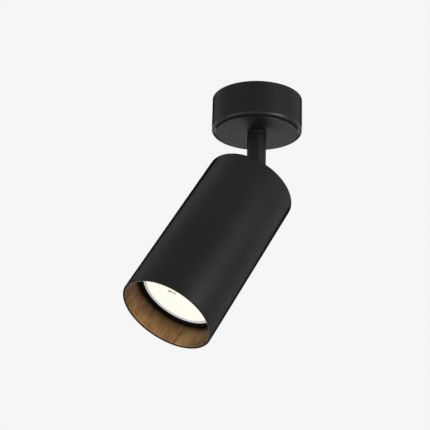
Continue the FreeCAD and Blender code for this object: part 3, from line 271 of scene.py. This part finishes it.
class Finish:
    """A node material, with short calls for the nodes that the finishes share."""

    def __init__(self, name, **sockets):
        self.material = bpy.data.materials.new(name)
        self.material.use_nodes = True
        self.tree = self.material.node_tree
        self.shader = self.tree.nodes["Principled BSDF"]
        self.output = self.tree.nodes["Material Output"]
        self.spot = self.node("ShaderNodeTexCoord").outputs["Object"]
        for socket, value in sockets.items():
            self.shader.inputs[socket.replace("_", " ")].default_value = value

    def node(self, kind, **settings):
        made = self.tree.nodes.new(kind)
        for setting, value in settings.items():
            setattr(made, setting, value)
        return made

    def link(self, source, target):
        self.tree.links.new(source, target)

    def stretched(self, scale, turn=(0, 0, 0), place=(0, 0, 0)):
        """The object's coordinates, seen from a turned frame and scaled along its axes."""
        mapping = self.node("ShaderNodeMapping", vector_type="TEXTURE")
        mapping.inputs["Location"].default_value = place
        mapping.inputs["Rotation"].default_value = turn
        mapping.inputs["Scale"].default_value = [1 / part for part in scale]
        self.link(self.spot, mapping.inputs["Vector"])
        return mapping.outputs["Vector"]

    def in_head(self, scale=(1, 1, 1)):
        """Coordinates in the head's own frame, scaled along its axes."""
        return self.stretched(scale, HEAD_TURN.to_euler(), PIVOT)

    def noise(self, scale, detail=2, rough=0.5, spot=None):
        texture = self.node("ShaderNodeTexNoise")
        texture.inputs["Scale"].default_value = scale
        texture.inputs["Detail"].default_value = detail
        texture.inputs["Roughness"].default_value = rough
        self.link(spot or self.spot, texture.inputs["Vector"])
        return texture.outputs["Fac"]

    def ramp(self, value, stops):
        """A run of colours or greys; each stop is a place and a colour."""
        ramp = self.node("ShaderNodeValToRGB")
        elements = ramp.color_ramp.elements
        while len(elements) < len(stops):
            elements.new(1.0)
        for element, (place, colour) in zip(elements, stops):
            colour = colour if isinstance(colour, tuple) else grey(colour)
            element.position = place
            element.color = (*colour, 1.0)
        self.link(value, ramp.inputs["Fac"])
        return ramp.outputs["Color"]

    def shades(self, value, dark, pale, start=NOISE_LOW, stop=NOISE_HIGH):
        """A run from a dark to a pale colour."""
        return self.ramp(value, [(start, dark), (stop, pale)])

    def span(self, value, low, high, start=NOISE_LOW, stop=NOISE_HIGH):
        """A value carried onto a range."""
        spread = self.node("ShaderNodeMapRange")
        spread.inputs["From Min"].default_value = start
        spread.inputs["From Max"].default_value = stop
        spread.inputs["To Min"].default_value = low
        spread.inputs["To Max"].default_value = high
        self.link(value, spread.inputs["Value"])
        return spread.outputs["Result"]

    def mixed(self, one, two, share, mode="MIX"):
        """Two colours mixed by a share; each of the three may be another node's output."""
        mix = self.node("ShaderNodeMix", data_type="RGBA", blend_type=mode)
        for place, item in ((MIX_SHARE, share), (MIX_FIRST, one), (MIX_SECOND, two)):
            socket = mix.inputs[place]
            if isinstance(item, bpy.types.NodeSocket):
                self.link(item, socket)
            elif isinstance(item, tuple):
                socket.default_value = (*item, 1.0)
            else:
                socket.default_value = item
        return mix.outputs[MIX_RESULT]

    def axis(self, spot, name):
        parts = self.node("ShaderNodeSeparateXYZ")
        self.link(spot, parts.inputs["Vector"])
        return parts.outputs[name]

    def nearness(self, place, reach):
        """One at a place, falling to nothing at a reach from it."""
        away = self.node("ShaderNodeVectorMath", operation="DISTANCE")
        self.link(self.spot, away.inputs[0])
        away.inputs[1].default_value = place
        return self.span(away.outputs["Value"], 1, 0, 0, reach)

    def radius(self):
        """The distance from the head's axis."""
        across = self.node("ShaderNodeVectorMath", operation="MULTIPLY")
        self.link(self.in_head(), across.inputs[0])
        across.inputs[1].default_value = (1, 1, 0)
        length = self.node("ShaderNodeVectorMath", operation="LENGTH")
        self.link(across.outputs["Vector"], length.inputs[0])
        return length.outputs["Value"]

    def bump(self, height, strength, depth):
        """A bump, on top of any that the finish has."""
        bump = self.node("ShaderNodeBump")
        bump.inputs["Strength"].default_value = strength
        bump.inputs["Distance"].default_value = depth
        self.link(height, bump.inputs["Height"])
        before = self.shader.inputs["Normal"]
        if before.is_linked:
            self.link(before.links[0].from_socket, bump.inputs["Normal"])
        self.link(bump.outputs["Normal"], before)

    def drive(self, name, source):
        """Drive one of the shader's inputs by another node's output."""
        self.link(source, self.shader.inputs[name])


def powder_coat(name, dark, pale):
    """Black powder coat: a fine grain, a slight orange peel, duller at grazing angles, and
    smoother and shinier on the canopy's lip."""
    finish = Finish(name)
    grain = finish.noise(scale=2400, detail=3, rough=0.6)
    peel = finish.noise(scale=600)
    cloud = finish.noise(scale=45, detail=3, rough=0.6)
    shade = finish.shades(grain, dark, pale, start=0.35)
    dimmed = finish.shades(cloud, 0.7, 1.0, start=0.35, stop=0.65)
    finish.drive("Base Color", finish.mixed(shade, dimmed, 1.0, "MULTIPLY"))
    matt = finish.span(peel, COAT_ROUGH - 0.05, COAT_ROUGH + 0.06)
    level = finish.axis(finish.spot, "Z")
    lip = finish.ramp(finish.span(level, 0, 1, LIP_LOW, LIP_HIGH), LIP_SHARES)
    finish.drive("Roughness", finish.mixed(matt, grey(LIP_ROUGH), lip))
    facing = finish.node("ShaderNodeLayerWeight").outputs["Facing"]
    gloss = finish.span(facing, COAT_GLOSS, EDGE_GLOSS, EDGE_START, EDGE_STOP)
    finish.drive("Specular IOR Level", finish.mixed(gloss, grey(LIP_GLOSS), lip))
    finish.bump(grain, strength=0.35, depth=0.06 * MM)
    finish.bump(peel, strength=0.25, depth=0.05 * MM)
    return finish.material


def metal(name, colour, rough):
    """Bright or plated metal with fine scratches and a slightly cloudy plating."""
    finish = Finish(name, Metallic=1.0)
    cloud = finish.noise(scale=260, detail=3)
    scratch = finish.noise(scale=900, detail=3, rough=0.6, spot=finish.stretched((1, 9, 1)))
    dark = tuple(part * 0.8 for part in colour)
    finish.drive("Base Color", finish.shades(cloud, dark, colour))
    finish.drive("Roughness", finish.span(scratch, rough - 0.06, rough + 0.1))
    finish.bump(scratch, strength=0.15, depth=0.02 * MM)
    return finish.material


def bronze():
    """The sleeve's bronze anodising: drawn along the beam and mottled, with a thin dark band at the
    front edge, a painted highlight just inside the mouth, and painted shade that deepens towards the
    lamp.
    """
    finish = Finish("bronze_anodised", Metallic=SLEEVE_METAL)
    inside = measured("anti_glare_sleeve", HEAD)
    streak = finish.noise(scale=1, detail=4, rough=0.65, spot=finish.in_head((1300, 1300, 40)))
    mottle = finish.noise(scale=1, spot=finish.in_head((230, 230, 120)))
    patina = finish.ramp(finish.mixed(streak, mottle, MOTTLE_SHARE), PATINA_SHARES)
    level = finish.axis(finish.in_head(), "Z")
    # Painted shade: the sleeve's colour darkens towards the lamp, with a painted highlight just inside
    # the mouth
    shade = finish.ramp(finish.span(level, 0, 1, inside.low, inside.high), SLEEVE_PAINTED_SHADE_SHARES)
    finish.drive("Base Color", finish.mixed(patina, shade, 1.0, "MULTIPLY"))
    finish.drive("Roughness", finish.span(streak, 0.30, 0.48))
    finish.bump(streak, strength=0.25, depth=0.03 * MM)
    return finish.material


def plastic(name, dark, pale, rough, scale=900, depth=0.03):
    """Moulded plastic or ceramic with a fine uneven surface; its depth is in mm."""
    finish = Finish(name)
    speck = finish.noise(scale, detail=3)
    finish.drive("Base Color", finish.shades(speck, dark, pale, start=0.35, stop=0.65))
    finish.drive("Roughness", finish.span(speck, rough - 0.05, rough + 0.07))
    finish.bump(speck, strength=0.1, depth=depth * MM)
    return finish.material


def lamp_silver():
    """The lamp's bright shell, and its front ring with a painted glow, standing for the light that the
    lens throws on it from its edge.
    """
    finish = Finish("lamp_silver", Metallic=SILVER_METAL)
    rim = measured("lamp_rim", HEAD)
    across = finish.span(finish.radius(), 0, 1, measured("lamp_lens", HEAD).outer, rim.outer)
    level = finish.axis(finish.in_head(), "Z")
    behind = finish.span(level, 0, 1, (rim.low + rim.high) / 2, rim.high)
    # Painted light: the front ring glows as if lit by the lens, fading out behind it
    glow = finish.mixed(finish.ramp(across, RIM_PAINTED_GLOW_SHARES), grey(0.0), behind)
    finish.drive("Emission Strength", glow)
    turning = finish.noise(scale=900)
    finish.drive("Base Color", finish.shades(turning, SILVER_DARK, SILVER_PALE))
    finish.drive("Emission Color", finish.shades(turning, RIM_PAINTED_GLOW_DARK, RIM_PAINTED_GLOW_PALE))
    finish.drive("Roughness", finish.span(turning, 0.25, 0.38))
    return finish.material


def lens_glow():
    """The lens lit from behind, with a few brown specks where the light source shows through."""
    finish = Finish("opal_lens", Roughness=0.25, Emission_Strength=1.0)
    cloud = finish.noise(scale=220)
    finish.drive("Base Color", finish.shades(cloud, LENS_DARK, LENS_PALE))
    glow = finish.shades(cloud, LENS_GLOW_DARK, LENS_GLOW_PALE)
    for x, y in SPECKS:
        near = finish.nearness(HEAD @ (Vector((x, y, SPECK_LEVEL)) * MM), SPECK_REACH)
        glow = finish.mixed(glow, SPECK_BROWN, finish.ramp(near, SPECK_SHARES))
    finish.drive("Emission Color", glow)
    return finish.material


def striped_lead():
    """Green and yellow insulation, each on one side of the lead."""
    finish = Finish("lead_green_yellow", Roughness=0.45)
    normal = finish.node("ShaderNodeTexCoord").outputs["Normal"]
    side = finish.span(finish.axis(normal, "X"), 0, 1, -STRIPE_BLUR, STRIPE_BLUR)
    finish.drive("Base Color", finish.shades(side, LEAD_GREEN, LEAD_YELLOW, start=0, stop=1))
    finish.bump(finish.noise(scale=900), strength=0.2, depth=0.02 * MM)
    return finish.material


FINISHES = {material.name: material for material in (
    powder_coat("black_coated_aluminium", 0.006, 0.010),
    powder_coat("black_coated_steel", 0.006, 0.012),
    metal("blackened_steel", (0.022, 0.022, 0.023), 0.42),
    metal("zinc_plated_steel", (0.62, 0.63, 0.65), 0.30),
    metal("brass", (0.72, 0.50, 0.18), 0.28),
    metal("tinned_brass", (0.66, 0.65, 0.62), 0.30),
    bronze(),
    lamp_silver(),
    lens_glow(),
    plastic("lamp_white_plastic", 0.62, 0.66, 0.40),
    plastic("board_white", 0.78, 0.84, 0.35),
    plastic("led_yellow", (0.55, 0.33, 0.03), (0.70, 0.45, 0.06), 0.40),
    plastic("white_ceramic", 0.62, 0.68, 0.30, scale=400),
    plastic("nylon_white", 0.66, 0.72, 0.50),
    plastic("nylon_black", 0.010, 0.018, 0.45),
    plastic("lead_brown", (0.10, 0.035, 0.012), (0.14, 0.050, 0.018), 0.42),
    plastic("lead_blue", (0.012, 0.060, 0.30), (0.018, 0.085, 0.38), 0.42),
    plastic("lead_silicone", 0.55, 0.68, 0.60, scale=2600, depth=0.06),
    striped_lead(),
)}


def dress_nodes():
    """Give every node of the frame the finish of its material slot."""
    for node, slot in slots.items():
        mesh = nodes[node].data
        mesh.materials.clear()
        mesh.materials.append(FINISHES[slot])


def placed(name, mesh, node, ride=True):
    """A finished mesh that stands for a node: with its finish, on its body."""
    mesh.materials.clear()
    mesh.materials.append(FINISHES[slots[node]])
    mesh.shade_smooth()
    mesh.set_sharp_from_angle(angle=SMOOTH_ANGLE)
    piece = added(name, mesh)
    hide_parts(node)
    if ride:
        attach(piece, nodes[node]["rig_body"])
    return piece


def skinned(name, home, rings, node):
    """A closed mesh through rings of points, the last joined to the first; a ring may be one point."""
    form = bmesh.new()
    rows = [[form.verts.new(home @ Vector(place)) for place in ring] for ring in rings]
    for row, after in zip(rows, rows[1:] + rows[:1]):
        for place in range(max(len(row), len(after))):
            following = place + 1
            corners = [row[place % len(row)], row[following % len(row)],
                       after[following % len(after)], after[place % len(after)]]
            corners = list(dict.fromkeys(corners))
            if len(corners) > 2:
                form.faces.new(corners)
    bmesh.ops.recalc_face_normals(form, faces=form.faces)
    mesh = bpy.data.meshes.new(name)
    form.to_mesh(mesh)
    form.free()
    placed(name, mesh, node)


def circle(radius, level, steps=TURN_STEPS):
    """A level ring of points, or the one point on the axis."""
    if radius < SAME_PLACE:
        return [(0, 0, level)]
    turns = [math.tau * step / steps for step in range(steps)]
    return [(radius * math.cos(turn), radius * math.sin(turn), level) for turn in turns]


def eased(outline):
    """Points of an outline whose corners, each a radius, a level and an ease, are rounded."""
    points = []
    for place, (radius, level, ease) in enumerate(outline):
        corner = Vector((radius, level))
        if not ease:
            points.append(corner)
            continue
        before = Vector(outline[place - 1][:2]) - corner
        after = Vector(outline[(place + 1) % len(outline)][:2]) - corner
        start = corner + before.normalized() * ease
        end = corner + after.normalized() * ease
        for step in range(EASE_STEPS + 1):
            share = step / EASE_STEPS
            points.append(start.lerp(corner, share).lerp(corner.lerp(end, share), share))
    return points


def turned(name, home, outline, node):
    """A round piece from half of its section."""
    skinned(name, home, [circle(*point) for point in eased(outline)], node)


def turned_tube(node, home, eases):
    """A plain tube with rounded edges; the eases are in mm, from the inner low edge round."""
    tube = measured(node, home)
    corners = [
        (tube.inner, tube.low), (tube.outer, tube.low),
        (tube.outer, tube.high), (tube.inner, tube.high),
    ]
    outline = [(*corner, ease * MM) for corner, ease in zip(corners, eases)]
    turned(node + "_turned", home, outline, node)


def thread_ring(radius, pitch, level, fade):
    """One ring of a right-handed thread at a level; its crests reach the radius."""
    ring = []
    for step in range(THREAD_STEPS):
        share = step / THREAD_STEPS
        climb = (level / pitch - share) % 1
        groove = max(0.0, min(1.0, 1 - (abs(climb * 2 - 1) - CREST_SHARE) / (1 - CREST_SHARE * 2)))
        reach = radius - THREAD_SHARE * pitch * (1 - (1 - groove) * fade)
        ring.append((reach * math.cos(math.tau * share), reach * math.sin(math.tau * share), level))
    return ring


def threaded(radius, pitch, low, high, fading=True):
    """Rings of a thread between two levels; its crests sink away at both ends if it is fading."""
    count = math.ceil((high - low) / pitch * RINGS_PER_PITCH)
    rings = []
    for place in range(count + 1):
        level = low + (high - low) * place / count
        fade = min(1, (level - low) / pitch, (high - level) / pitch) if fading else 1
        rings.append(thread_ring(radius, pitch, level, fade))
    return rings


def hexagonal(flats, level):
    """A ring on a hexagon, with corners along the frame's X axis."""
    ring = []
    for step in range(THREAD_STEPS):
        turn = math.tau * step / THREAD_STEPS
        reach = flats / 2 / math.cos(turn % HEX_PART - HEX_PART / 2)
        ring.append((reach * math.cos(turn), reach * math.sin(turn), level))
    return ring


def sloped(ring, start, slope):
    """A ring whose level changes outside a radius, as a nut's turned chamfer makes it."""
    return [(x, y, z + max(0.0, math.hypot(x, y) - start) * slope) for x, y, z in ring]


def hex_nut(name, home, radius, pitch, node, flats):
    """A nut with turned chamfers on its corners and a thread that fits its screw's."""
    body = measured(node, home)
    face = flats / 2 * NUT_FACE_SHARE
    lead = radius + NUT_LEAD
    bore = threaded(radius + FIT_GAP, pitch, body.low + NUT_LEAD, body.high - NUT_LEAD, fading=False)
    outside = [
        circle(lead, body.low, THREAD_STEPS), circle(face, body.low, THREAD_STEPS),
        sloped(hexagonal(flats, body.low), face, NUT_SLOPE_SHARE),
        sloped(hexagonal(flats, body.high), face, -NUT_SLOPE_SHARE),
        circle(face, body.high, THREAD_STEPS), circle(lead, body.high, THREAD_STEPS),
    ]
    skinned(name, home, outside + list(reversed(bore)), node)


def make_head_tubes():
    """The head's tube, the sleeve and the ring round the lamp, each with soft edges."""
    for node, eases in HEAD_TUBES.items():
        turned_tube(node, HEAD, eases)


def make_lamp_front():
    """The lamp's bright ring and its slightly domed lens."""
    lens = measured("lamp_lens", HEAD)
    rim = measured("lamp_rim", HEAD)
    opening = lens.outer + FIT_GAP
    turned("lamp_rim_turned", HEAD, [
        (opening, rim.low, RIM_INNER_EASE), (rim.outer, rim.low, RIM_OUTER_EASE),
        (rim.outer, rim.high, 0), (rim.inner, rim.high, 0),
        (rim.inner, lens.high, 0), (opening, lens.high, 0),
    ], "lamp_rim")
    dome = []
    for step in range(LENS_RINGS + 1):
        share = step / LENS_RINGS
        dome.append((lens.outer * share, lens.low + (lens.rim_low - lens.low) * share ** 2, 0))
    turned("lamp_lens_domed", HEAD, dome + [(lens.outer, lens.high, 0), (0, lens.high, 0)], "lamp_lens")


def make_stem():
    """The stem's tube, the hollow thread with its flat, and the nuts on it and on the lower knuckle."""
    turned_tube("stem_tube", STEM, STEM_TUBE_EASES)
    pipe = measured("threaded_nipple", STEM)
    flat_low = measured("pan_washer_inner", STEM).high
    rings = threaded(NIPPLE_RADIUS, NIPPLE_PITCH, pipe.low, pipe.high)
    rings = [[(min(x, NIPPLE_FLAT) if z > flat_low else x, y, z) for x, y, z in ring] for ring in rings]
    bore = [circle(pipe.inner, pipe.high, THREAD_STEPS), circle(pipe.inner, pipe.low, THREAD_STEPS)]
    skinned("nipple_thread", STEM, rings + bore, "threaded_nipple")
    for node, home in (("pan_nut", STEM), ("lock_nut", STEM), ("cap_nut", HEAD)):
        hex_nut(node + "_threaded", home, NIPPLE_RADIUS, NIPPLE_PITCH, node, NUT_FLATS)


def make_pivot_screw():
    """The socket screw that the head tilts on, and its nut."""
    screw = measured("pivot_screw", PIN)
    seat = screw.high - PIVOT_HEAD_HEIGHT
    socket_floor = screw.high - SOCKET_DEPTH
    ease = PIVOT_HEAD_EASE
    round_point = ease * PIVOT_ROUND_SHARE
    head = [
        circle(PIVOT_SHANK, seat, THREAD_STEPS), circle(screw.outer, seat, THREAD_STEPS),
        circle(screw.outer, screw.high - ease, THREAD_STEPS),
        circle(screw.outer - round_point, screw.high - round_point, THREAD_STEPS),
        circle(screw.outer - ease, screw.high, THREAD_STEPS),
        hexagonal(SOCKET_FLATS, screw.high), hexagonal(SOCKET_FLATS, socket_floor),
        [(0, 0, socket_floor)],
    ]
    tip = [(0, 0, screw.low)]
    shank = threaded(PIVOT_SHANK, PIVOT_PITCH, screw.low, seat - PIVOT_PITCH)
    skinned("pivot_screw_threaded", PIN, [tip] + shank + head, "pivot_screw")
    hex_nut("pivot_nut_threaded", PIN, PIVOT_SHANK, PIVOT_PITCH, "pivot_nut", PIVOT_FLATS)


def lead_point(place, along=0):
    """A point of the knuckle leads' route by its number, at a distance in mm along the pivot screw."""
    x, y = KNUCKLE_ROUTE[place]
    return PIN @ (Vector((x, y, along)) * MM)


def make_knuckle_leads():
    """Three leads that curve round the pivot screw, drawn in the rest pose."""
    curve = bpy.data.curves.new("knuckle_leads_curve", "CURVE")
    curve.dimensions = "3D"
    curve.bevel_depth = LEAD_RADIUS
    curve.bevel_resolution = LEAD_ROUND_STEPS
    curve.use_fill_caps = True
    curve.resolution_u = LEAD_RUN_STEPS
    for along in LEAD_SPREAD:
        spline = curve.splines.new("NURBS")
        spline.points.add(len(KNUCKLE_ROUTE) - 1)
        for place, point in enumerate(spline.points):
            point.co = (*lead_point(place, along), 1)
        spline.order_u = LEAD_SPLINE_ORDER
        spline.use_endpoint_u = True
    source = bpy.data.objects.new("knuckle_leads_source", curve)
    mesh = bpy.data.meshes.new_from_object(source)
    bpy.data.objects.remove(source)
    piece = placed("knuckle_leads_bent", mesh, "knuckle_leads", ride=False)
    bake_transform(piece)


def soften(node, width):
    """A copy of a node whose sharp edges are rounded, standing for the node."""
    form = bmesh.new()
    form.from_mesh(nodes[node].data)
    bmesh.ops.remove_doubles(form, verts=form.verts, dist=SAME_PLACE)
    bmesh.ops.dissolve_limit(form, angle_limit=SAME_PLANE, verts=form.verts, edges=form.edges)
    mesh = bpy.data.meshes.new(node + "_soft_edges")
    form.to_mesh(mesh)
    form.free()
    piece = placed(node + "_soft_edges", mesh, node)
    bevel = piece.modifiers.new("soft edges", "BEVEL")
    bevel.width = width
    bevel.segments = BEVEL_STEPS
    bevel.limit_method = "ANGLE"
    bevel.angle_limit = BEVEL_ANGLE
    bevel.harden_normals = True


def soften_edges():
    """Round the sharp edges of the cast, bent and small pieces."""
    for width, names in SOFT_EDGES.items():
        for node in names.split():
            soften(node, width * MM)


def make_camera():
    """The photograph's view."""
    data = bpy.data.cameras.new("camera")
    data.lens = CAMERA_LENS
    data.sensor_width = SENSOR_WIDTH
    camera = added("camera", data)
    raised = Matrix.Rotation(LEVEL_TURN + CAMERA_RISE, 4, "X")
    rolled = Matrix.Rotation(CAMERA_ROLL, 4, "Z")
    camera.matrix_world = Matrix.Translation(CAMERA_PLACE) @ raised @ rolled
    bpy.context.scene.camera = camera


def seen_plainly(tree):
    """One for what the camera sees, straight or by way of glossy and clear surfaces."""
    path = tree.nodes.new("ShaderNodeLightPath")
    seen = path.outputs["Is Camera Ray"]
    for kind in ("Is Glossy Ray", "Is Transmission Ray"):
        either = tree.nodes.new("ShaderNodeMath")
        either.operation = "MAXIMUM"
        tree.links.new(seen, either.inputs[0])
        tree.links.new(path.outputs[kind], either.inputs[1])
        seen = either.outputs[0]
    return seen


def make_world():
    """A pale surround that the camera and glossy surfaces see brighter than it lights."""
    world = bpy.data.worlds.new("studio")
    bpy.context.scene.world = world
    world.use_nodes = True
    tree = world.node_tree
    sky = tree.nodes["Background"]
    sky.inputs["Color"].default_value = (*grey(SKY_SHADE), 1)
    seen = tree.nodes.new("ShaderNodeBackground")
    seen.inputs["Color"].default_value = (*grey(BACKDROP_SHADE), 1)
    mix = tree.nodes.new("ShaderNodeMixShader")
    tree.links.new(seen_plainly(tree), mix.inputs[0])
    tree.links.new(sky.outputs[0], mix.inputs[1])
    tree.links.new(seen.outputs[0], mix.inputs[2])
    tree.links.new(mix.outputs[0], tree.nodes["World Output"].inputs["Surface"])


def make_floor():
    """A plain pale floor, well below the hanging light."""
    mesh = bpy.data.meshes.new("floor")
    corners = [(x * FLOOR_REACH, y * FLOOR_REACH, FLOOR_LEVEL) for x, y in FLOOR_CORNERS]
    mesh.from_pydata(corners, [], [(0, 1, 2, 3)])
    floor = added("floor", mesh)
    finish = Finish("floor", Roughness=FLOOR_ROUGH)
    finish.drive("Base Color", finish.shades(finish.noise(scale=3), FLOOR_DARK, FLOOR_PALE))
    glow = finish.node("ShaderNodeEmission")
    glow.inputs["Color"].default_value = (*grey(BACKDROP_SHADE), 1)
    mix = finish.node("ShaderNodeMixShader")
    finish.link(finish.span(seen_plainly(finish.tree), 0, FLOOR_GLOW_SHARE, 0, 1), mix.inputs[0])
    finish.link(finish.shader.outputs[0], mix.inputs[1])
    finish.link(glow.outputs[0], mix.inputs[2])
    finish.link(mix.outputs[0], finish.output.inputs["Surface"])
    mesh.materials.append(finish.material)


def aimed(light, aim):
    """Turn a lamp along a direction."""
    light.rotation_euler = Vector(aim).to_track_quat("-Z", "Y").to_euler()


def make_lights():
    """Four softboxes that the camera doesn't see, and a wide sun that no surface mirrors."""
    for name, (place, width, power) in SOFTBOXES.items():
        data = bpy.data.lights.new(name, "AREA")
        data.shape = "SQUARE"
        data.size = width
        data.energy = power
        light = added(name, data)
        light.location = place
        light.visible_camera = False
        aimed(light, Vector(LAMP_TARGET) - Vector(place))
    data = bpy.data.lights.new("sky light", "SUN")
    data.energy = SUN_STRENGTH
    data.angle = SUN_SPREAD
    light = added("sky light", data)
    light.visible_glossy = False
    aimed(light, SUN_AIM)


dress_nodes()
make_camera()
make_head_tubes()
make_lamp_front()
make_stem()
make_pivot_screw()
make_knuckle_leads()
soften_edges()
make_world()
make_floor()
make_lights()
bpy.context.scene.view_settings.view_transform = "Standard"
